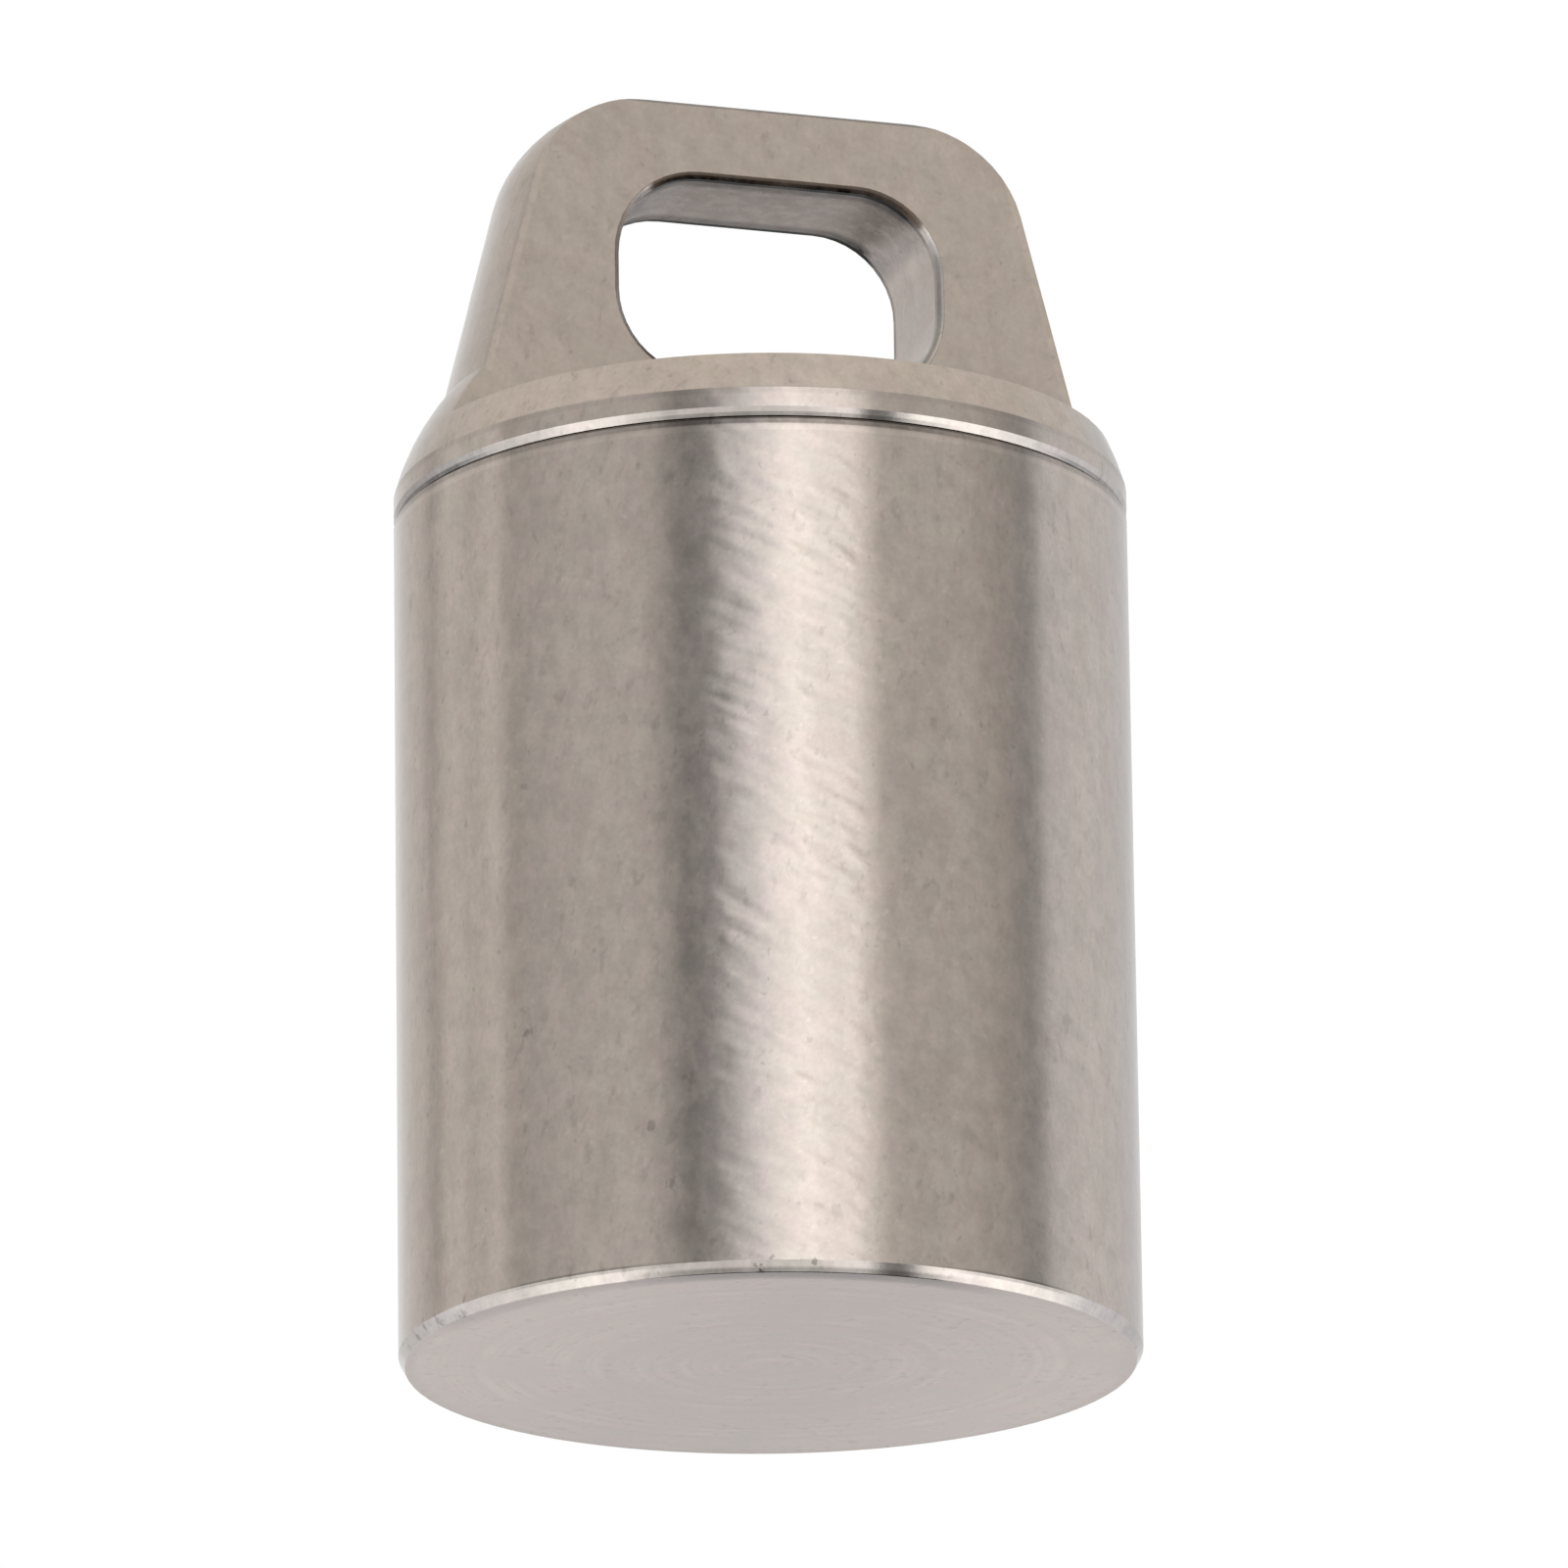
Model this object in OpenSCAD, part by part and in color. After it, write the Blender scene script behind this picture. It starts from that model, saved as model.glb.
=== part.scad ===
// Keychain capsule: a turned metal cup, a screw cap with a flat eye on top, and the seal between them.
// The base stands on z = 0, +Z runs up through the cap, and the eye is open along Y.

/* [Body] */
// Outside diameter of the cup and of the cap's skirt
capsule_d = 15; // [14:0.1:22]
// Height of the cup, from the flat base to its mouth
body_h = 17.65; // [14:0.05:40]
// Thickness of the floor
floor_t = 1.6; // [0.8:0.1:3]
// Wall around the chamber
chamber_wall = 1.6; // [1.4:0.1:2]
// Radius between the chamber's wall and its floor
chamber_fillet = 0.8; // [0.2:0.1:1.5]
// Width of the chamfer around the base
base_chamfer_w = 0.13; // [0.05:0.01:0.8]
// Height of the chamfer around the base
base_chamfer_h = 0.23; // [0.05:0.01:0.8]
// Wall around the seal, at the mouth
mouth_wall = 0.75; // [0.6:0.05:1]
// Depth of the smooth bore that the seal slides in
seal_bore_depth = 1.65; // [1.6:0.05:2.5]
// Lead-in chamfer inside the mouth
mouth_lead = 0.15; // [0.05:0.05:0.3]
// Edge break on the outside of the mouth
mouth_break = 0.05; // [0.02:0.01:0.15]

/* [Cap] */
// Gap at the seam, between the mouth and the cap
seam_gap = 0.04; // [0.02:0.01:0.1]
// Height of the cap's straight skirt, above the seam
skirt_h = 0.57; // [0.3:0.01:3]
// Width of the chamfer under the skirt
skirt_chamfer_w = 0.09; // [0.05:0.01:0.2]
// Height of the chamfer under the skirt
skirt_chamfer_h = 0.17; // [0.05:0.01:0.2]
// Height of the rounded shoulder, up to the foot of the eye's cone
shoulder_h = 1.9; // [1.6:0.05:2.4]
// Width of the rounded shoulder
shoulder_w = 1; // [0.6:0.02:1.2]
// Radius of the shoulder's curve
shoulder_r = 5; // [3:0.1:8]

/* [Eye] */
// Height of the flat ledge that the plate is milled down to, above the skirt
ledge_h = 0.81; // [0.4:0.01:1.2]
// Height of the eye plate above the ledge
plate_h = 7.12; // [6.62:0.1:12.02]
// Thickness of the eye plate
plate_t = 3.05; // [2:0.05:5]
// Lean of the plate's turned sides, in degrees
plate_taper = 14; // [6:0.1:16]
// Radius of the plate's turned top corners
plate_corner_r = 2.4; // [0.5:0.1:2.8]
// Edge break along the plate's top edges
plate_break = 0.08; // [0.02:0.01:0.2]
// Width of the slot through the plate
slot_w = 6.85; // [5:0.05:7.6]
// Height of the slot
slot_h = 4.25; // [4.1:0.05:4.8]
// Radius of the slot's corners
slot_corner_r = 1.75; // [0.5:0.05:2]
// Height of the slot's lower edge above the ledge
slot_sill = 1.27; // [0.2:0.01:1.5]
// Chamfer around both ends of the slot
slot_chamfer = 0.12; // [0.05:0.01:0.25]

/* [Thread] */
// Rise of the thread in one turn
pitch = 0.75; // [0.75:0.05:1.2]
// Turns of ridge on the cap, and in the cup
thread_turns = 4; // [2:0.5:6]
// Height of a ridge above its root
ridge_h = 0.41; // [0.3:0.01:0.41]
// Width of a ridge at its crest
crest_w = 0.12; // [0.06:0.01:0.12]
// Lean of a ridge's flanks, in degrees
flank_angle = 30; // [20:1:30]
// Clearance between a crest and the root that it faces
crest_gap = 0.08; // [0.06:0.01:0.1]
// Radial step from the seal's bore down to the thread's root
root_step = 0.15; // [0.1:0.01:0.25]

/* [Spigot and seal] */
// Wall of the cap's hollow spigot, behind the thread
spigot_wall = 0.95; // [0.9:0.05:1.6]
// Roof over the spigot's hollow, below the ledge
cap_roof = 1.8; // [1.2:0.1:3]
// Chamfer at the end of the spigot
spigot_chamfer = 0.25; // [0.1:0.05:0.3]
// Height of the collar between the seal and the thread
collar_h = 0.35; // [0.2:0.05:0.4]
// Thickness of the squeezed seal, across the gap
seal_t = 0.85; // [0.6:0.05:0.9]
// Height of the squeezed seal
seal_h = 1.1; // [0.8:0.05:1.1]
// Rounding of the seal's corners
seal_corner_r = 0.35; // [0.1:0.05:0.36]
// Clearance around the seal in its groove and bore
seal_gap = 0.02; // [0.01:0.01:0.04]
// Room under the spigot, above the step to the chamber
spigot_room = 0.4; // [0.2:0.1:1]

/* [Hidden] */
$fn = 96;
// Overrun of a cut past the face that it opens
overrun = 0.5;
// Facets in one turn of a ridge, and those over which its ends sink away
turn_facets = 40;
fade_facets = 8;
// How far a ridge's foot is sunk into the wall that carries it
ridge_sink = 0.15;
// Height of a ridge's end, as a share of the ridge with its sunk foot
end_share = 0.15;
// Bare root left between a ridge and the step beyond it
ridge_margin = 0.12;

metal = [0.68, 0.65, 0.6];
rubber = [0.08, 0.08, 0.08];

// Radii, from the outside in
capsule_r = capsule_d / 2;
seal_bore_r = capsule_r - mouth_wall;
cup_root_r = seal_bore_r - root_step;
cup_crest_r = cup_root_r - ridge_h;
cap_crest_r = cup_root_r - crest_gap;
cap_root_r = cap_crest_r - ridge_h;
spigot_bore_r = cap_root_r - spigot_wall;
groove_r = seal_bore_r - seal_t - 2 * seal_gap;
chamber_r = capsule_r - chamber_wall;
neck_r = capsule_r - shoulder_w;

// Heights, from the seam up
cap_z = body_h + seam_gap;
skirt_low_z = cap_z + skirt_chamfer_h;
skirt_top_z = cap_z + skirt_h;
ledge_z = skirt_top_z + ledge_h;
neck_z = skirt_top_z + shoulder_h;
plate_top_z = ledge_z + plate_h;
slot_z = ledge_z + slot_sill + slot_h / 2;

// Heights, from the seam down
groove_h = seal_h + 2 * seal_gap;
groove_z = cap_z - groove_h;
collar_z = groove_z - collar_h;
foot_half_w = crest_w / 2 + (ridge_h + ridge_sink) * tan(flank_angle);
ridge_zone = thread_turns * pitch + 2 * (foot_half_w + ridge_margin) + spigot_chamfer;
spigot_z = collar_z - ridge_zone;
cap_ridge_z = spigot_z + spigot_chamfer + ridge_margin + foot_half_w;
cup_ridge_z = cap_ridge_z - pitch / 2;
relief_z = spigot_z - spigot_room;
spigot_roof_z = ledge_z - cap_roof;

// Centre of the arc of radius r that bulges outwards from the point a up to the point b
function bulge_centre(a, b, r) =
    let (chord = b - a, half = norm(chord) / 2, inwards = [-chord.y, chord.x] / norm(chord))
    (a + b) / 2 + inwards * sqrt(r * r - half * half);

// Radius of the eye's turned cone at height z
function cone_r(z) = neck_r - (z - neck_z) * tan(plate_taper);

// One section of a ridge: its foot and its tip, below and above the centre line at height z
function ridge_section(foot_r, tip_r, crest_r, angle, z) =
    let (
        slope = tan(flank_angle),
        foot_w = crest_w / 2 + abs(crest_r - foot_r) * slope,
        tip_w = crest_w / 2 + abs(crest_r - tip_r) * slope,
        ray = [cos(angle), sin(angle)]
    )
    [
        [foot_r * ray.x, foot_r * ray.y, z - foot_w],
        [tip_r * ray.x, tip_r * ray.y, z - tip_w],
        [tip_r * ray.x, tip_r * ray.y, z + tip_w],
        [foot_r * ray.x, foot_r * ray.y, z + foot_w]
    ];

// A right-hand helical ridge on a round wall; it points outwards where crest_r is the larger radius
module ridge(root_r, crest_r, z) {
    outwards = crest_r > root_r;
    foot_r = outwards ? root_r - ridge_sink : root_r + ridge_sink;
    steps = round(thread_turns * turn_facets);
    points = [
        for (i = [0 : steps])
            let (
                share = max(end_share, min(1, i / fade_facets, (steps - i) / fade_facets)),
                tip_r = foot_r + (crest_r - foot_r) * share
            )
            each ridge_section(foot_r, tip_r, crest_r, 360 * i / turn_facets, z + pitch * i / turn_facets)
    ];
    sides = [
        for (i = [0 : steps - 1], k = [0 : 3])
            let (a = 4 * i + k, b = 4 * i + (k + 1) % 4)
            each [[a, b, b + 4], [a, b + 4, a + 4]]
    ];
    last = 4 * steps;
    ends = [
        [2, 1, 0], [3, 2, 0],
        [last, last + 1, last + 2], [last, last + 2, last + 3]
    ];
    faces = concat(sides, ends);
    polyhedron(points, outwards ? faces : [for (f = faces) [f.z, f.y, f.x]]);
}

// Outline of the cup's space, from the chamber's floor to past the mouth
module cup_space() {
    translate([0, floor_t + chamber_fillet])
        square([chamber_r, body_h - floor_t - chamber_fillet]);
    translate([0, floor_t])
        square([chamber_r - chamber_fillet, chamber_fillet + overrun]);
    translate([chamber_r - chamber_fillet, floor_t + chamber_fillet])
        circle(chamber_fillet);
    translate([0, relief_z])
        square([cup_root_r, body_h - relief_z]);
    translate([0, body_h - seal_bore_depth])
        square([seal_bore_r, seal_bore_depth + overrun]);
    polygon([
        [0, body_h - mouth_lead],
        [seal_bore_r, body_h - mouth_lead],
        [seal_bore_r + mouth_lead, body_h],
        [seal_bore_r + mouth_lead, body_h + overrun],
        [0, body_h + overrun]
    ]);
}

// Outside outline of the cup, with its chamfered base and broken mouth edge
module cup_outline() {
    polygon([
        [0, 0],
        [capsule_r - base_chamfer_w, 0],
        [capsule_r, base_chamfer_h],
        [capsule_r, body_h - mouth_break],
        [capsule_r - mouth_break, body_h],
        [0, body_h]
    ]);
}

// The cup: floor, wall, smooth bore for the seal, and the inside thread
module capsule_body() {
    color(metal) {
        rotate_extrude()
            difference() {
                cup_outline();
                cup_space();
            }
        ridge(cup_root_r, cup_crest_r, cup_ridge_z);
    }
}

// Outline of the cap as it is turned: spigot, seal groove, skirt, shoulder and the cone above it
module cap_outline() {
    corner_run = plate_corner_r * tan((90 - plate_taper) / 2);
    corner_centre = [cone_r(plate_top_z) - corner_run, plate_top_z - plate_corner_r];
    cone_end = corner_centre + plate_corner_r * [cos(plate_taper), sin(plate_taper)];
    polygon([
        [spigot_bore_r, spigot_z],
        [cap_root_r - spigot_chamfer, spigot_z],
        [cap_root_r, spigot_z + spigot_chamfer],
        [cap_root_r, collar_z],
        [cap_crest_r, collar_z],
        [cap_crest_r, groove_z],
        [groove_r, groove_z],
        [groove_r, cap_z],
        [capsule_r - skirt_chamfer_w, cap_z],
        [capsule_r, skirt_low_z],
        [cone_r(ledge_z), ledge_z],
        cone_end,
        corner_centre,
        [corner_centre.x, plate_top_z],
        [0, plate_top_z],
        [0, spigot_roof_z],
        [spigot_bore_r, spigot_roof_z]
    ]);
    // The straight skirt, and the shoulder's bulge from its top up to the neck
    intersection() {
        translate(bulge_centre([capsule_r, skirt_top_z], [neck_r, neck_z], shoulder_r))
            circle(shoulder_r);
        translate([groove_r, skirt_low_z])
            square([capsule_r - groove_r, plate_top_z - skirt_low_z]);
    }
    // The rounded top corner
    intersection() {
        translate(corner_centre)
            circle(plate_corner_r);
        polygon([
            corner_centre,
            cone_end,
            [cone_end.x, plate_top_z + overrun],
            [corner_centre.x, plate_top_z + overrun]
        ]);
    }
}

// Everything milled off one side of the blank, down to the ledge, with the plate's top edge broken
module mill_cut() {
    face_y = plate_t / 2;
    rotate([90, 0, 90])
        linear_extrude(capsule_d + 2 * overrun, center = true)
            polygon([
                [face_y, ledge_z],
                [capsule_r + overrun, ledge_z],
                [capsule_r + overrun, plate_top_z + overrun],
                [face_y - plate_break - overrun, plate_top_z + overrun],
                [face_y, plate_top_z - plate_break]
            ]);
}

// Rounded rectangle, centred, for the slot
module slot_outline() {
    square([slot_w - 2 * slot_corner_r, slot_h], center = true);
    square([slot_w, slot_h - 2 * slot_corner_r], center = true);
    for (x = [-1, 1], y = [-1, 1])
        translate([x * (slot_w / 2 - slot_corner_r), y * (slot_h / 2 - slot_corner_r)])
            circle(slot_corner_r);
}

// Flared end of the slot: the outline's sides lean outwards by slot_chamfer at the plate's face
module slot_flare() {
    flare_h = slot_chamfer + overrun;
    core_w = slot_w - 2 * slot_corner_r;
    core_h = slot_h - 2 * slot_corner_r;
    // One pair of opposite sides, as a prism with leaning ends
    module leaning_prism(across, along) {
        rotate([90, 0, 0])
            linear_extrude(along, center = true)
                polygon([
                    [-across / 2, 0], [across / 2, 0],
                    [across / 2 + flare_h, flare_h], [-across / 2 - flare_h, flare_h]
                ]);
    }
    leaning_prism(slot_w, core_h);
    rotate([0, 0, 90])
        leaning_prism(slot_h, core_w);
    for (x = [-1, 1], y = [-1, 1])
        translate([x * core_w / 2, y * core_h / 2])
            cylinder(h = flare_h, r1 = slot_corner_r, r2 = slot_corner_r + flare_h);
}

// Everything cut away to make the slot, lying along Y at the slot's height
module slot_cut() {
    translate([0, 0, slot_z])
        rotate([90, 0, 0]) {
            linear_extrude(plate_t + 2 * overrun, center = true)
                slot_outline();
            for (side = [0, 1])
                mirror([0, 0, side])
                    translate([0, 0, plate_t / 2 - slot_chamfer])
                        slot_flare();
        }
}

// The cap: the turned blank, milled to a flat plate above the shoulder, slotted and threaded
module cap() {
    color(metal) {
        difference() {
            rotate_extrude()
                cap_outline();
            for (side = [0, 1])
                mirror([0, side, 0])
                    mill_cut();
            slot_cut();
        }
        ridge(cap_root_r, cap_crest_r, cap_ridge_z);
    }
}

// The seal, as it lies squeezed between the cap's groove and the cup's bore
module o_ring() {
    color(rubber)
        rotate_extrude()
            translate([groove_r + seal_gap, groove_z + seal_gap]) {
                translate([seal_corner_r, 0])
                    square([seal_t - 2 * seal_corner_r, seal_h]);
                translate([0, seal_corner_r])
                    square([seal_t, seal_h - 2 * seal_corner_r]);
                for (x = [seal_corner_r, seal_t - seal_corner_r], y = [seal_corner_r, seal_h - seal_corner_r])
                    translate([x, y])
                        circle(seal_corner_r);
            }
}

capsule_body();
cap();
o_ring();
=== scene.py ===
"""Keychain capsule: looks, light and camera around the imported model.

Everything is in metres in the model's own frame, but the metal and the rubber work in millimetres.
"""

from math import cos, pi, sin

import bmesh
import bpy
from mathutils import Matrix, Vector

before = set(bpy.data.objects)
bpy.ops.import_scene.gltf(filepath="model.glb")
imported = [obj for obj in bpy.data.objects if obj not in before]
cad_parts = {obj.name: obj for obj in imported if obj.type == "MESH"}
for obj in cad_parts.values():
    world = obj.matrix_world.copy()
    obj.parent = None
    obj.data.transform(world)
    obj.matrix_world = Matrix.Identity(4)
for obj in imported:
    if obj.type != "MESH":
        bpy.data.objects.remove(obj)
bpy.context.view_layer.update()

MM = 0.001

# Sizes of the model that the metal and the floor follow, in millimetres
BASE_R = 7.375
CHAMFER_TOP_Z = 0.23
SEAM_Z = 17.67
SKIRT_LOW_Z = 17.86
SKIRT_TOP_Z = 18.26
LEDGE_Z = 19.07
NECK_Z = 20.16
NECK_R = 6.5
CONE_SLOPE = 0.249
CONE_TOP_Z = 25
PLATE_HALF_T = 1.525
SLOT_Z = 22.465
SLOT_HALF_H = 2.125
SLOT_HALF_W = 3.425
SLOT_CHAMFER = 0.12

# The camera looks slightly up at the capsule, whose eye is turned a little to the right.
# Angles are in radians, and the focal length is in pixels of the photograph.
CAMERA_RISE = 0.2894
CAMERA_ROLL = -0.0133
EYE_TURN = 0.3184
CAMERA_DISTANCE = 0.3
CAMERA_TARGET = Vector((0.000416, 0, 0.012198))
FOCAL_PIXELS = 15047
IMAGE_WIDTH = 1601
SENSOR_WIDTH = 36


# ---------------------------------------------------------------- node helpers


class Nodes:
    """Adds nodes to one tree. An input is a socket to link or a value to set."""

    def __init__(self, tree):
        self.tree = tree
        tree.nodes.clear()

    def add(self, kind, inputs=None, **settings):
        node = self.tree.nodes.new(kind)
        for name, value in settings.items():
            setattr(node, name, value)
        for name, value in (inputs or {}).items():
            if isinstance(value, bpy.types.NodeSocket):
                self.tree.links.new(value, node.inputs[name])
            else:
                node.inputs[name].default_value = value
        return node

    def math(self, operation, *values):
        node = self.add("ShaderNodeMath", dict(enumerate(values)), operation=operation)
        return node.outputs[0]

    def product(self, first, *others):
        for other in others:
            first = self.math("MULTIPLY", first, other)
        return first

    def largest(self, first, *others):
        for other in others:
            first = self.math("MAXIMUM", first, other)
        return first

    def flip(self, value):
        return self.math("SUBTRACT", 1, value)

    def span(self, value, low, high, to_low=0, to_high=1):
        """Maps low..high smoothly to to_low..to_high."""
        inputs = {
            "Value": value,
            "From Min": low,
            "From Max": high,
            "To Min": to_low,
            "To Max": to_high,
        }
        node = self.add("ShaderNodeMapRange", inputs, interpolation_type="SMOOTHSTEP")
        return node.outputs[0]

    def band(self, value, low, high, soft):
        """1 from low to high, and 0 beyond a soft edge on either side."""
        return self.product(self.span(value, low - soft, low), self.span(value, high + soft, high))

    def blend(self, share, a, b):
        node = self.add("ShaderNodeMix", {0: share, 2: a, 3: b}, data_type="FLOAT")
        return node.outputs[0]

    def blend_vector(self, share, a, b):
        node = self.add("ShaderNodeMix", {0: share, 4: a, 5: b}, data_type="VECTOR")
        return node.outputs[1]

    def blend_colour(self, share, a, b):
        node = self.add("ShaderNodeMix", {0: share, 6: a, 7: b}, data_type="RGBA")
        return node.outputs[2]

    def ramp(self, share, stops):
        """A ramp of greys. A stop is a place from 0 to 1, a level and how cool it is."""
        node = self.add("ShaderNodeValToRGB", {0: share})
        points = node.color_ramp.elements
        while len(points) < len(stops):
            points.new(0.5)
        for point, (place, level, cool) in zip(points, stops):
            point.position = place
            point.color = (level * (1 - cool), level, level * (1 + 2 * cool), 1)
        return node.outputs[0]

    def noise(self, vector, scale, detail, rough=0.5):
        inputs = {"Vector": vector, "Scale": scale, "Detail": detail, "Roughness": rough}
        return self.add("ShaderNodeTexNoise", inputs).outputs[0]

    def cells(self, vector, size, turn=(0, 0, 0)):
        """Turns the axes, then counts along each of them in units of its size."""
        inputs = {"Vector": vector, "Rotation": turn, "Scale": size}
        return self.add("ShaderNodeMapping", inputs, vector_type="TEXTURE").outputs[0]

    def millimetres(self):
        """The place on the surface, in millimetres."""
        place = self.add("ShaderNodeTexCoord").outputs["Object"]
        inputs = {0: place, "Scale": 1 / MM}
        return self.add("ShaderNodeVectorMath", inputs, operation="SCALE").outputs[0]

    def seen(self):
        """1 for rays that show a surface itself: the camera's, and those through clear things."""
        path = self.add("ShaderNodeLightPath").outputs
        return self.largest(path["Is Camera Ray"], path["Is Transmission Ray"])


def new_material(name):
    material = bpy.data.materials.new(name)
    material.use_nodes = True
    return material, Nodes(material.node_tree)


# ---------------------------------------------------------------------- camera


def make_camera():
    right = Vector((1, 0, 0))
    ahead = Vector((0, cos(CAMERA_RISE), sin(CAMERA_RISE)))
    up = right.cross(ahead)
    axes = Matrix(
        (
            right * cos(CAMERA_ROLL) + up * sin(CAMERA_ROLL),
            up * cos(CAMERA_ROLL) - right * sin(CAMERA_ROLL),
            -ahead,
        )
    ).transposed()
    place = Matrix.Translation(CAMERA_TARGET - ahead * CAMERA_DISTANCE)
    data = bpy.data.cameras.new("camera")
    data.sensor_width = SENSOR_WIDTH
    data.lens = FOCAL_PIXELS / IMAGE_WIDTH * SENSOR_WIDTH
    data.clip_start = 0.01
    data.clip_end = 10
    camera = bpy.data.objects.new("camera", data)
    camera.matrix_world = Matrix.Rotation(-EYE_TURN, 4, "Z") @ place @ axes.to_4x4()
    bpy.context.scene.collection.objects.link(camera)
    bpy.context.scene.camera = camera


# ----------------------------------------------------------------------- light

# Brightness round the horizon: degrees to the right of the camera, the level and how cool it is.
# One tall soft light stands beside the camera, with a dark flag on its left, between pale grey
# walls. Behind the object the background is plain white, in reflections too.
WALLS = (
    (-180, 1, 0),
    (-161, 1.28, 0),
    (-134, 1.02, 0),
    (-126, 0.72, 0),
    (-118, 1.06, 0),
    (-110, 1.04, 0),
    (-104, 0.88, 0),
    (-93, 1.06, 0),
    (-90, 0.98, 0),
    (-87, 0.7, 0),
    (-78, 0.73, 0.01),
    (-60, 0.84, 0.01),
    (-40, 0.85, 0.01),
    (-34, 0.74, 0.01),
    (-24, 0.31, 0.03),
    (-16, 0.5, 0.04),
    (-8, 1.12, 0.04),
    (0, 1.75, 0.035),
    (11, 2.4, 0.015),
    (19, 2.02, 0.015),
    (26, 1.98, 0.015),
    (33, 1.38, 0),
    (38, 0.87, 0),
    (46, 0.79, 0),
    (66, 0.79, 0),
    (80, 0.62, 0),
    (89, 0.5, 0.02),
    (95, 0.58, 0.03),
    (99, 1.02, 0.03),
    (120, 1.16, 0.02),
    (150, 1.15, 0.02),
    (180, 1, 0),
)
# The same far below the horizon, from the far left, -1, to the far right, 1
LOW_LIGHTS = (
    (-1, 1.2, 0),
    (-0.88, 1.5, 0),
    (-0.78, 2.2, 0),
    (-0.65, 2.2, 0),
    (-0.43, 1.2, 0),
    (-0.2, 1.2, 0),
    (0.1, 1.3, 0),
    (0.28, 1.6, 0),
    (0.43, 1.9, 0),
    (0.5, 0.3, 0),
    (0.58, 0.3, 0),
    (0.68, 2.45, 0),
    (0.9, 2.45, 0),
    (1, 1.6, 0),
)
PALE_GROUND = (1.24, 1.28, 1.36, 1)
CEILING = (1.13, 1.1, 1.06, 1)
OVERHEAD_BEHIND = (0.5, 0.53, 0.58, 1)
WHITE = (1, 1, 1, 1)

# Where one part of the studio fades into the next, by the height of a ray that leaves the object,
# from -1 to 1, and by how far the ray goes away from the camera
GROUND_FADE = (-0.02, -0.25)
LOW_LIGHTS_FADE = (-0.3, -0.44)
CEILING_FADE = (0.42, 0.62)
OVERHEAD_FADE = (0.8, 0.9)
BEHIND_FADE = (0.05, 0.3)

FLOOR_RADII = (BASE_R * MM, 0.05, 0.6)
FLOOR_SEGMENTS = 128
FLOOR_COLOURS = ((0.86, 0.86, 0.85, 1), (0.9, 0.9, 0.89, 1))
FLOOR_GRAIN = 900
FLOOR_GLOW = 0.08


def make_world():
    """A grey studio that lights the object and shows in it. The camera sees plain white instead."""
    world = bpy.data.worlds.new("studio")
    bpy.context.scene.world = world
    world.use_nodes = True
    n = Nodes(world.node_tree)
    # The studio stands square to the camera, which is turned from the model's axes by EYE_TURN
    ray = n.add("ShaderNodeTexCoord").outputs["Generated"]
    turned = n.cells(ray, (1, 1, 1), (0, 0, -EYE_TURN))
    way = n.add("ShaderNodeSeparateXYZ", {0: turned}).outputs
    to_right = n.math("ARCTAN2", way["X"], n.product(way["Y"], -1))
    around = n.math("MULTIPLY_ADD", to_right, 1 / (2 * pi), 0.5)
    walls = n.ramp(around, [(angle / 360 + 0.5, level, cool) for angle, level, cool in WALLS])
    across = n.math("MULTIPLY_ADD", way["X"], 0.5, 0.5)
    lights = n.ramp(across, [((x + 1) / 2, level, cool) for x, level, cool in LOW_LIGHTS])
    low = n.blend_colour(n.span(way["Z"], *LOW_LIGHTS_FADE), PALE_GROUND, lights)
    sides = n.blend_colour(n.span(way["Z"], *GROUND_FADE), walls, low)
    behind = n.product(n.span(way["Y"], *BEHIND_FADE), n.span(way["Z"], *OVERHEAD_FADE))
    ceiling = n.blend_colour(behind, CEILING, OVERHEAD_BEHIND)
    studio = n.blend_colour(n.span(way["Z"], *CEILING_FADE), sides, ceiling)
    lit = n.add("ShaderNodeBackground", {"Color": studio, "Strength": 1})
    white = n.add("ShaderNodeBackground", {"Color": WHITE, "Strength": 1})
    inputs = {0: n.seen(), 1: lit.outputs[0], 2: white.outputs[0]}
    mixed = n.add("ShaderNodeMixShader", inputs)
    n.add("ShaderNodeOutputWorld", {"Surface": mixed.outputs[0]})


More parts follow.
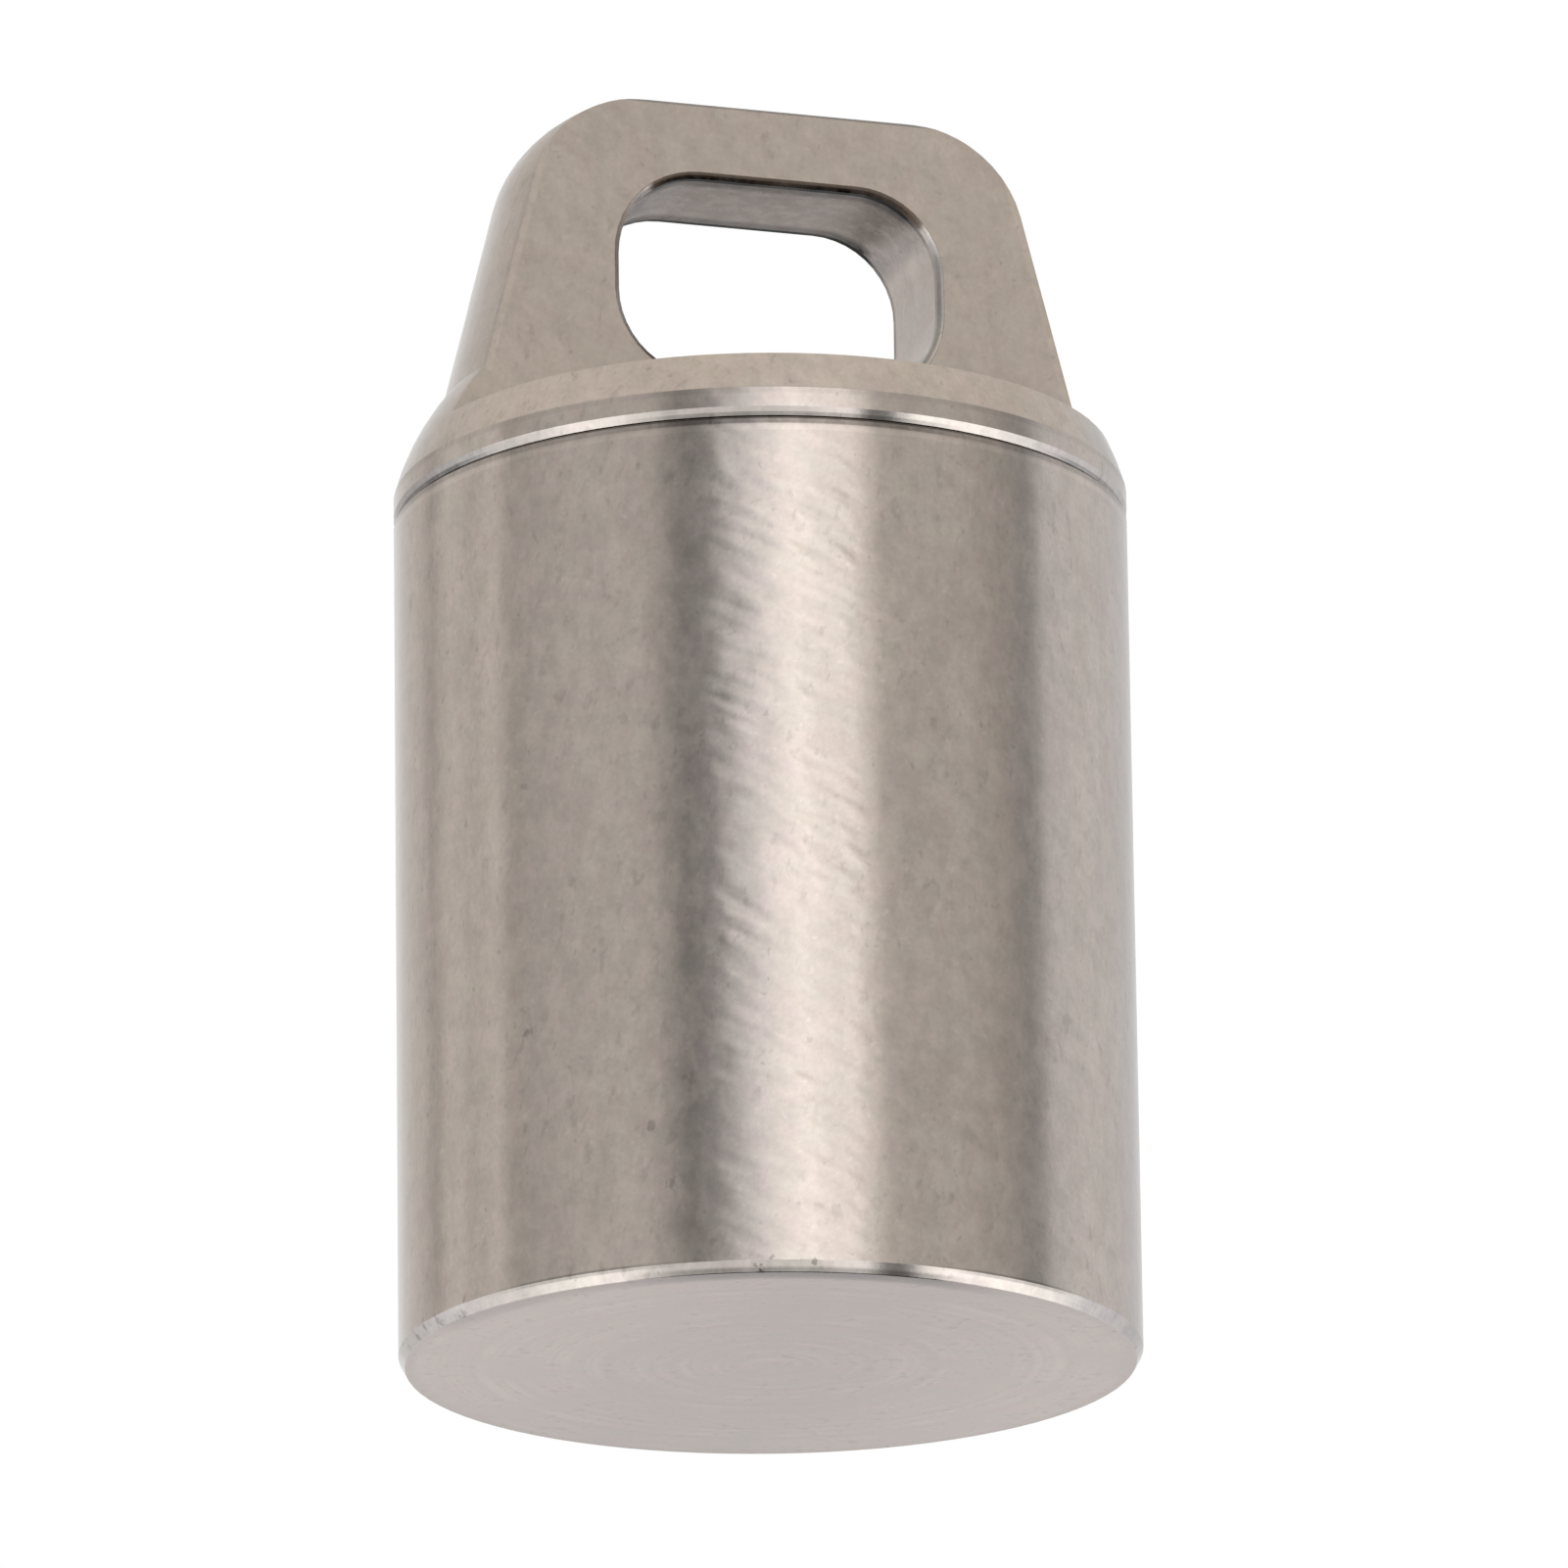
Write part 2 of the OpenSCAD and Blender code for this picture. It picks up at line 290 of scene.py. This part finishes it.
def make_floor():
    """A pale floor with a hole that the capsule's base covers. It shows from above only, so that
    the camera, which looks up, sees past it. Reflections see past it too, to the studio."""
    mesh = bpy.data.meshes.new("floor")
    bm = bmesh.new()
    turns = [2 * pi * i / FLOOR_SEGMENTS for i in range(FLOOR_SEGMENTS)]
    rings = [[bm.verts.new((r * cos(a), r * sin(a), 0)) for a in turns] for r in FLOOR_RADII]
    for inner, outer in zip(rings, rings[1:]):
        for i in range(FLOOR_SEGMENTS):
            j = (i + 1) % FLOOR_SEGMENTS
            bm.faces.new((inner[i], outer[i], outer[j], inner[j]))
    bm.to_mesh(mesh)
    bm.free()
    floor = bpy.data.objects.new("floor", mesh)
    bpy.context.scene.collection.objects.link(floor)

    material, n = new_material("pale floor")
    position = n.add("ShaderNodeTexCoord").outputs["Object"]
    colour = n.blend_colour(n.noise(position, FLOOR_GRAIN, 3), *FLOOR_COLOURS)
    matte = n.add("ShaderNodeBsdfDiffuse", {"Color": colour})
    dark = n.add("ShaderNodeEmission", {"Strength": 0})
    glow = n.add("ShaderNodeEmission", {"Strength": FLOOR_GLOW})
    lift = n.add("ShaderNodeMixShader", {0: n.seen(), 1: dark.outputs[0], 2: glow.outputs[0]})
    top = n.add("ShaderNodeAddShader", {0: matte.outputs[0], 1: lift.outputs[0]})
    clear = n.add("ShaderNodeBsdfTransparent")
    under = n.add("ShaderNodeNewGeometry").outputs["Backfacing"]
    unseen = n.largest(under, n.add("ShaderNodeLightPath").outputs["Is Glossy Ray"])
    both = n.add("ShaderNodeMixShader", {0: unseen, 1: top.outputs[0], 2: clear.outputs[0]})
    n.add("ShaderNodeOutputMaterial", {"Surface": both.outputs[0]})
    mesh.materials.append(material)


# ----------------------------------------------------------------------- metal

TITANIUM_PINK = (0.432, 0.369, 0.327, 1)
TITANIUM_GREEN = (0.42, 0.371, 0.322, 1)
MILLED_TINT = (0.89, 0.88, 0.86, 1)
BASE_TINT = (0.99, 0.98, 1, 1)
# Painted light: the slot's walls lighter and cooler than the milled flats
SLOT_TINT = (1.02, 1.02, 1.05, 1)
# Painted light: the chamfers lighter and cooler, for whiter highlights
CHAMFER_TINT = (1.02, 1.07, 1.13, 1)
EDGE_TINT = (0.75, 0.75, 0.75, 1)
TURNED_ROUGHNESS = 0.2
MILLED_ROUGHNESS = 0.32
SLOT_ROUGHNESS = 0.28
CHAMFER_ROUGHNESS = 0.15
WORN_ROUGHNESS = 0.7
ROUGHNESS_SPREAD = 0.02
ANISOTROPY = 0.95
ANISOTROPY_TURN = 0.25

# The bump's height in millimetres, and each texture's share of it. The streaks are strong in the
# streaky places, faint elsewhere, and evenly spread over the milled faces.
BUMP_HEIGHT = 0.01
STRONG_STREAKS = (1.1, 2.4)
FAINT_STREAKS = 0.15
MILLED_STREAKS = 0.4
TOOL_MARKS = 0.1
WAVES = 0.12
GRAIN = 0.06

# The metal's textures: a cell's size in millimetres, its turn about each axis in radians, and the
# layers of detail
TEXTURES = {
    "rings": ((5, 5, 0.06), (0, 0, 0), 2),
    "mill marks": ((0.9, 0.9, 0.12), (0, 0.35, 0), 2),
    "streaks": ((0.9, 0.9, 0.28), (0, 0.42, 0), 0),
    "patches": ((5, 5, 6), (0, 0, 0), 1),
    "waves": ((0.8, 0.8, 0.5), (0, 0, 0), 1),
    "mottle": ((0.4, 0.4, 0.65), (0, 0, 0), 3),
    "clouds": ((1.9, 1.9, 2.4), (0, 0, 0), 1),
    "smudges": ((0.24, 0.24, 0.42), (0.3, 0.2, 0), 2),
    "grain": ((0.12, 0.12, 0.12), (0, 0, 0), 2),
    "specks": ((0.2, 0.2, 0.26), (0, 0, 0), 1),
    "dots": ((0.14, 0.14, 0.14), (0, 0, 0), 0),
    "nicks": ((0.3, 0.3, 0.3), (0, 0, 0), 2),
    "hue": ((0.85, 0.85, 0.7), (0, 0, 0), 2),
    "long scratches": ((0.05, 0.05, 1.4), (0.4, 0.5, 0), 0),
    "cross scratches": ((1.2, 0.05, 0.05), (0.3, -0.7, 0), 0),
}
LAYER_ROUGHNESS = 0.6
CIRCLES_PER_MM = 3.2

# Rings round the capsule: the lowest and highest height, and the width of the soft edges, in
# millimetres
RINGS = {
    "skirt edge": (SEAM_Z + 0.01, SKIRT_LOW_Z, 0.01),
    # A painted shade line under the skirt's top edge
    "skirt line": (SKIRT_TOP_Z - 0.08, SKIRT_TOP_Z - 0.02, 0.07),
    # Painted shade in the seam: on the skirt's foot and on the cup's top
    "seam top": (SEAM_Z + 0.01, SEAM_Z + 0.07, 0.04),
    "seam": (SEAM_Z - 0.14, SEAM_Z - 0.05, 0.06),
    # A painted highlight on the lip of the cup below the seam
    "lip": (SEAM_Z - 0.28, SEAM_Z - 0.24, 0.05),
    # Painted shade along the top of the base's chamfer
    "rim high": (CHAMFER_TOP_Z - 0.03, CHAMFER_TOP_Z + 0.02, 0.05),
}

# Stretches along x, from left to right, and the width of their soft edges, in millimetres
# Painted shade in the seam and on the base's rim is deepest in the shaded middle stretch, at the
# front
SHADED_MIDDLE_STRETCH = (-3.6, 0.8, 1.5)
SHADED_SIDES_STRETCH = (-6, 3.6, 1)
STREAKY_STRETCH = (-3, -0.8, 0.6)

# Where a look comes in along x or y: from none to all of it, in millimetres
LEFT_END_X = (-6.5, -7.2)
RIGHT_END_X = (3.6, 5)
FRONT_X = (3.2, 1.6)
FRONT_Y = (-0.5, -2)
SHADED_MIDDLE_Y = (1, -1)
STREAKY_BACK_Y = (0, 2)

# Small dents: a place and a radius in millimetres
DENTS = (
    (-7.2, -2.05, 0.02, 0.2),
    (-7.4, -1.2, 0.1, 0.16),
    (-7.48, -0.55, 0.2, 0.12),
    (-7.5, 0, 0.03, 0.2),
    (-7.45, 0.7, 0.02, 0.14),
    (-4.1, -6.27, 1.85, 0.16),
    (-4.5, -6, 3.1, 0.13),
    (-6.3, -4.1, 5.4, 0.17),
)
DENT_RAGGEDNESS = 0.35

# What lightens and darkens the metal, both its random tone and painted light and shade: a field,
# its low and high, the share of light that is added at each of them, and the field that this is
# limited to
SHADES = (
    # Painted sheen: the base is lighter towards its left and right sides
    ("from middle", 0.75, 6.75, -0.02, 0.09, "base face"),
    ("circles", 0.35, 0.65, -0.045, 0.045, "ringed"),
    ("mottle", 0.3, 0.7, -0.065, 0.055, "mottled"),
    ("clouds", 0.3, 0.7, -0.02, 0.02, None),
    ("grain", 0.3, 0.7, -0.035, 0.035, "mottled"),
    ("streaks", 0.3, 0.7, -0.02, 0.02, "upright"),
    ("smudges", 0.56, 0.7, 0, -0.12, "smudged"),
    ("specks", 0.7, 0.78, 0, -0.14, None),
    ("dots", 0.76, 0.82, 0, 0.07, None),
    ("long scratches", 0.8, 0.84, 0, 0.05, None),
    ("cross scratches", 0.8, 0.84, 0, 0.05, None),
    ("nicks", 0.67, 0.73, 0, -0.4, "nicked"),
    # Painted shade: a dark line under the skirt's top edge, broken up by the mottle
    ("mottle", 0.3, 0.6, -0.02, -0.12, "skirt line"),
    # Painted light: the flats lighter to the right and towards the ledge
    ("x", -4, 4, 0, 0.08, "flat"),
    ("z", 21, 19.6, 0, 0.08, "flat"),
    # Painted shade: the slot's corners, top wall and near front edge darker
    ("mottle", 0.35, 0.6, -0.28, -0.44, "slot corner"),
    ("level", 0, 1, 0, -0.11, "slot"),
    ("slot shade", 0, 1, 0, -0.34, None),
    # Painted shade: the seam darker, most at the front middle and at its ends, and the skirt's
    # chamfer darker at its left end
    ("seam", 0, 1, 0, -0.24, None),
    ("seam", 0, 1, 0, -0.3, "shaded_middle"),
    ("seam top", 0, 1, 0, -0.38, "shaded seam"),
    ("skirt edge", 0, 1, 0, -0.25, "left end"),
    # Painted highlight along the lip of the cup
    ("lip", 0, 1, 0, 0.08, None),
    # Painted shade along the slot's near rim, and painted light on its left chamfer
    ("clouds", 0.35, 0.6, -0.42, -0.25, "slot rim"),
    ("slot left", 0, 1, 0, 0.8, None),
    # Painted shade on the base's chamfer and in a ring near the base's rim, deepest at the front
    # middle
    ("rim low", 0, 1, 0, -0.42, "shaded_middle"),
    ("rim high", 0, 1, 0, -0.34, "shaded_sides"),
    ("base rim", 0, 1, 0, -0.04, None),
    ("base rim", 0, 1, 0, -0.18, "front"),
    ("base rim", 0, 1, 0, -0.22, "shaded_middle"),
    ("dents", 0, 1, 0, -0.24, None),
    # Painted highlight where the cone meets the flats, and painted shade on the cone beside them
    ("cone highlight", 0, 1, 0, 0.08, None),
    ("mottle", 0.3, 0.6, -0.05, -0.16, "cone shade"),
)


def find_distances(n, mm):
    """Distances in millimetres, and how level a face is, from 0 to 1."""
    axes = n.add("ShaderNodeSeparateXYZ", {0: mm}).outputs
    flat_xy = n.add("ShaderNodeCombineXYZ", {"X": axes["X"], "Y": axes["Y"]}).outputs[0]
    radius = n.add("ShaderNodeVectorMath", {0: flat_xy}, operation="LENGTH").outputs["Value"]
    normal = n.add("ShaderNodeNewGeometry").outputs["Normal"]
    facing = n.add("ShaderNodeSeparateXYZ", {0: normal}).outputs
    return {
        "x": axes["X"],
        "y": axes["Y"],
        "z": axes["Z"],
        "from middle": n.math("ABSOLUTE", axes["X"]),
        "side": n.math("ABSOLUTE", axes["Y"]),
        "radius": radius,
        "levelness": n.math("ABSOLUTE", facing["Z"]),
    }


def find_faces(n, fields):
    """The faces and chamfers that have a look of their own, as fields from 0 to 1."""
    z, side, radius = fields["z"], fields["side"], fields["radius"]
    level = n.span(fields["levelness"], 0.5, 0.97)

    # The eye's two flats and its slot are milled
    above = n.span(z, LEDGE_Z + 0.01, LEDGE_Z + 0.02)
    on_flat = n.span(side, PLATE_HALF_T - 0.01, PLATE_HALF_T - 0.005)
    rim_h, rim_w = SLOT_HALF_H + SLOT_CHAMFER, SLOT_HALF_W + SLOT_CHAMFER
    from_slot_z = n.math("ABSOLUTE", n.math("SUBTRACT", z, SLOT_Z))
    by_slot = n.product(
        n.span(from_slot_z, rim_h + 0.02, rim_h),
        n.span(fields["from middle"], rim_w + 0.02, rim_w),
    )

    # The chamfers of the base and of the slot, beside the skirt's, which is a ring
    by_base = n.span(z, CHAMFER_TOP_Z + 0.02, CHAMFER_TOP_Z)
    base_edge = n.product(by_base, n.span(radius, BASE_R - 0.015, BASE_R - 0.005))
    edge_side = n.band(side, PLATE_HALF_T - SLOT_CHAMFER, PLATE_HALF_T - 0.015, 0.005)
    slot_edge = n.product(by_slot, edge_side)
    return {
        "level": level,
        "upright": n.flip(level),
        "on flat": on_flat,
        "flat": n.product(above, on_flat),
        "by slot": by_slot,
        "slot": n.product(by_slot, n.flip(on_flat)),
        "slot edge": slot_edge,
        "milled": n.product(above, n.largest(on_flat, by_slot)),
        "base face": n.span(z, 0.02, 0.01),
        "chamfer": n.largest(base_edge, fields["skirt edge"], slot_edge),
    }


def find_edges(n, fields):
    """Painted shade and highlight along the edges and in the slot, as fields from 0 to 1."""
    x, z, side, radius = (fields[name] for name in ("x", "z", "side", "radius"))
    slot, by_slot = fields["slot"], fields["by slot"]
    rim_side = n.band(side, PLATE_HALF_T - 0.24, PLATE_HALF_T - 0.07, 0.04)
    shade_side = n.band(side, PLATE_HALF_T - 0.35, PLATE_HALF_T - 0.2, 0.4)

    # The plate's sides are a cone, which meets the flats in a painted highlight line
    cone_r = n.math("MULTIPLY_ADD", z, -CONE_SLOPE, NECK_R + CONE_SLOPE * NECK_Z)
    to_cone = n.math("SUBTRACT", cone_r, radius)
    by_cone = n.product(n.band(z, NECK_Z, CONE_TOP_Z, 0.3), n.band(to_cone, 0.06, 0.12, 0.06))
    by_flat = n.span(side, PLATE_HALF_T - 0.25, PLATE_HALF_T - 0.02)
    over_ledge = n.span(z, LEDGE_Z + 0.23, LEDGE_Z + 0.53)

    # Painted shade on the base: a ring near its rim and the lowest part of its chamfer
    near_rim = n.span(radius, BASE_R - 0.725, BASE_R - 0.175)
    at_rim = n.span(radius, BASE_R - 0.025, BASE_R - 0.005)
    left_x = -SLOT_HALF_W
    return {
        # Painted light on the slot's left chamfer, and painted shade along its rim, in its corners
        # and on its top wall
        "slot left": n.product(fields["slot edge"], n.span(x, left_x + 0.525, left_x + 0.025)),
        "slot rim": n.product(by_slot, rim_side, n.span(x, left_x - 0.025, left_x + 0.725)),
        "slot corner": n.product(slot, n.band(fields["levelness"], 0.62, 0.85, 0.25)),
        "slot shade": n.product(slot, shade_side, fields["level"]),
        "cone highlight": n.product(by_cone, fields["on flat"]),
        "cone shade": n.product(by_flat, over_ledge, n.flip(fields["milled"])),
        "base rim": n.product(fields["base face"], near_rim),
        "rim low": n.product(n.span(z, 0.15, 0.05), at_rim),
    }


def find_patches(n, fields):
    """Where painted shade along the edges is strong, and where the textures are strong, as fields
    from 0 to 1.
    """
    x, y, z = fields["x"], fields["y"], fields["z"]
    level, clouds = fields["level"], fields["clouds"]
    # Painted shade: deepest in the seam and on the base's rim at the front middle, and on the
    # chamfer's top beside it
    shaded_middle = n.product(n.band(x, *SHADED_MIDDLE_STRETCH), n.span(y, *SHADED_MIDDLE_Y))
    left_end = n.span(x, *LEFT_END_X)
    at_back = n.product(n.span(fields["patches"], 0.45, 0.6), n.span(y, *STREAKY_BACK_Y))
    by_rim = n.span(fields["radius"], BASE_R - 0.275, BASE_R - 0.025)
    return {
        "shaded_middle": shaded_middle,
        "shaded seam": n.largest(shaded_middle, left_end, n.span(x, *RIGHT_END_X)),
        "shaded_sides": n.product(n.flip(shaded_middle), n.band(x, *SHADED_SIDES_STRETCH)),
        "left end": left_end,
        "front": n.product(n.span(x, *FRONT_X), n.span(y, *FRONT_Y)),
        "mottled": n.blend(level, 1, 0.5),
        "smudged": n.span(clouds, 0.4, 0.58),
        "nicked": n.product(n.span(z, 0.5, 0.2), by_rim),
        "ringed": n.product(level, n.flip(fields["slot"]), n.span(clouds, 0.4, 0.6, 0.2, 1)),
        "streaky": n.largest(at_back, n.band(x, *STREAKY_STRETCH)),
    }


def find_circles(n, fields):
    along = n.add("ShaderNodeCombineXYZ", {"X": fields["radius"]}).outputs[0]
    return n.noise(along, CIRCLES_PER_MM, 2, LAYER_ROUGHNESS)


def find_dents(n, mm, fields):
    grains = n.math("ADD", fields["grain"], fields["specks"])
    ragged = n.math("MULTIPLY_ADD", grains, DENT_RAGGEDNESS, -DENT_RAGGEDNESS)
    dents = []
    for *centre, size in DENTS:
        away = n.add("ShaderNodeVectorMath", {0: mm, 1: centre}, operation="DISTANCE")
        edge = n.math("ADD", away.outputs["Value"], ragged)
        dents.append(n.span(edge, size, 0.3 * size))
    return n.largest(*dents)


def metal_fields(n):
    """Everything that the metal's look follows, by name."""
    mm = n.millimetres()
    fields = {
        name: n.noise(n.cells(mm, size, turn), 1, detail, LAYER_ROUGHNESS)
        for name, (size, turn, detail) in TEXTURES.items()
    }
    fields.update(find_distances(n, mm))
    fields.update({name: n.band(fields["z"], *heights) for name, heights in RINGS.items()})
    fields.update(find_faces(n, fields))
    fields.update(find_edges(n, fields))
    fields.update(find_patches(n, fields))
    fields["circles"] = find_circles(n, fields)
    fields["dents"] = find_dents(n, mm, fields)
    return fields


def metal_colour(n, fields):
    shade = 1
    for field, low, high, dark, light, limit in SHADES:
        part = n.span(fields[field], low, high, dark, light)
        shade = n.math("ADD", shade, part if limit is None else n.product(part, fields[limit]))
    hue = n.blend_colour(n.span(fields["hue"], 0.35, 0.65), TITANIUM_GREEN, TITANIUM_PINK)
    finish_and_light_tint = n.blend_colour(fields["base face"], WHITE, BASE_TINT)
    finish_and_light_tint = n.blend_colour(fields["milled"], finish_and_light_tint, MILLED_TINT)
    # The slot's and the chamfers' tints are painted light
    finish_and_light_tint = n.blend_colour(fields["slot"], finish_and_light_tint, SLOT_TINT)
    finish_and_light_tint = n.blend_colour(fields["chamfer"], finish_and_light_tint, CHAMFER_TINT)
    hue = n.add("ShaderNodeVectorMath", {0: hue, 1: finish_and_light_tint}, operation="MULTIPLY").outputs[0]
    inputs = {0: hue, "Scale": shade}
    return n.add("ShaderNodeVectorMath", inputs, operation="SCALE").outputs[0]


def metal_roughness(n, fields):
    rough = n.blend(fields["milled"], TURNED_ROUGHNESS, MILLED_ROUGHNESS)
    rough = n.blend(fields["slot"], rough, SLOT_ROUGHNESS)
    spread = n.span(fields["mottle"], 0.3, 0.7, -ROUGHNESS_SPREAD, ROUGHNESS_SPREAD)
    rough = n.blend(fields["chamfer"], n.math("ADD", rough, spread), CHAMFER_ROUGHNESS)
    return n.blend(fields["slot left"], rough, WORN_ROUGHNESS)


def metal_bump(n, fields):
    """Slanting streaks over the tool's marks. All are fainter on level faces and in the slot."""
    milled, level, slot = fields["milled"], fields["level"], fields["slot"]
    share = n.product(fields["streaky"], n.span(fields["clouds"], 0.38, 0.6, *STRONG_STREAKS))
    share = n.blend(milled, n.math("ADD", share, FAINT_STREAKS), MILLED_STREAKS)
    share = n.product(fields["upright"], share, n.blend(fields["chamfer"], 1, 0.3))
    height = n.product(n.math("SUBTRACT", fields["streaks"], 0.5), share)
    marks = n.blend(milled, fields["rings"], fields["mill marks"])
    height = n.math("MULTIPLY_ADD", marks, TOOL_MARKS, height)
    height = n.math("MULTIPLY_ADD", fields["waves"], WAVES, height)
    height = n.math("MULTIPLY_ADD", fields["grain"], GRAIN, height)
    height = n.product(height, n.blend(level, 1, 0.3), n.blend(slot, 1, 0.5))
    return n.add("ShaderNodeBump", {"Distance": BUMP_HEIGHT * MM, "Height": height}).outputs[0]


def make_metal():
    """Turned titanium: fine rings round the axis, short slanting streaks, soft smudges and small
    specks. The plate's flats and the slot are milled, with straight marks and a duller face. The
    chamfers are smoother than the rest, and the slot's left chamfer is rough. Shade and highlights
    are painted along the seam, the skirt, the base's rim and the slot, and light on some faces."""
    material, n = new_material("turned titanium")
    fields = metal_fields(n)
    around = n.add("ShaderNodeTangent", direction_type="RADIAL", axis="Z").outputs[0]
    inputs = {
        "Base Color": metal_colour(n, fields),
        "Metallic": 1,
        "Roughness": metal_roughness(n, fields),
        "Specular Tint": EDGE_TINT,
        "Anisotropic": ANISOTROPY,
        "Anisotropic Rotation": ANISOTROPY_TURN,
        "Normal": metal_bump(n, fields),
        "Tangent": n.blend_vector(fields["level"], around, (1, 0, 0)),
    }
    shader = n.add("ShaderNodeBsdfPrincipled", inputs)
    n.add("ShaderNodeOutputMaterial", {"Surface": shader.outputs[0]})
    return material


# ---------------------------------------------------------------------- rubber

RUBBER_BLACK = (0.018, 0.018, 0.019, 1)
RUBBER_DUSTY = (0.045, 0.044, 0.042, 1)
RUBBER_ROUGHNESS = (0.5, 0.62)
RUBBER_DUST_ROUGHNESS = 0.15
RUBBER_GRAINS_PER_MM = 14
RUBBER_PATCHES_PER_MM = 3.5
RUBBER_BUMP_HEIGHT = 0.004


def make_rubber():
    """Black moulded rubber with a fine grain and a little pale dust."""
    material, n = new_material("black rubber")
    mm = n.millimetres()
    grain = n.noise(mm, RUBBER_GRAINS_PER_MM, 3)
    dust = n.span(n.noise(mm, RUBBER_PATCHES_PER_MM, 4, 0.7), 0.55, 0.75)
    rough = n.span(grain, 0.3, 0.7, *RUBBER_ROUGHNESS)
    bump = {"Strength": 0.5, "Distance": RUBBER_BUMP_HEIGHT * MM, "Height": grain}
    inputs = {
        "Base Color": n.blend_colour(dust, RUBBER_BLACK, RUBBER_DUSTY),
        "Roughness": n.math("ADD", rough, n.product(dust, RUBBER_DUST_ROUGHNESS)),
        "Normal": n.add("ShaderNodeBump", bump).outputs[0],
    }
    shader = n.add("ShaderNodeBsdfPrincipled", inputs)
    n.add("ShaderNodeOutputMaterial", {"Surface": shader.outputs[0]})
    return material


def dress(node, material):
    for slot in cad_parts[node].material_slots:
        slot.material = material


make_camera()
make_world()
make_floor()
metal = make_metal()
dress("capsule_body", metal)
dress("cap", metal)
dress("o_ring", make_rubber())

bpy.context.scene.view_settings.view_transform = "Standard"
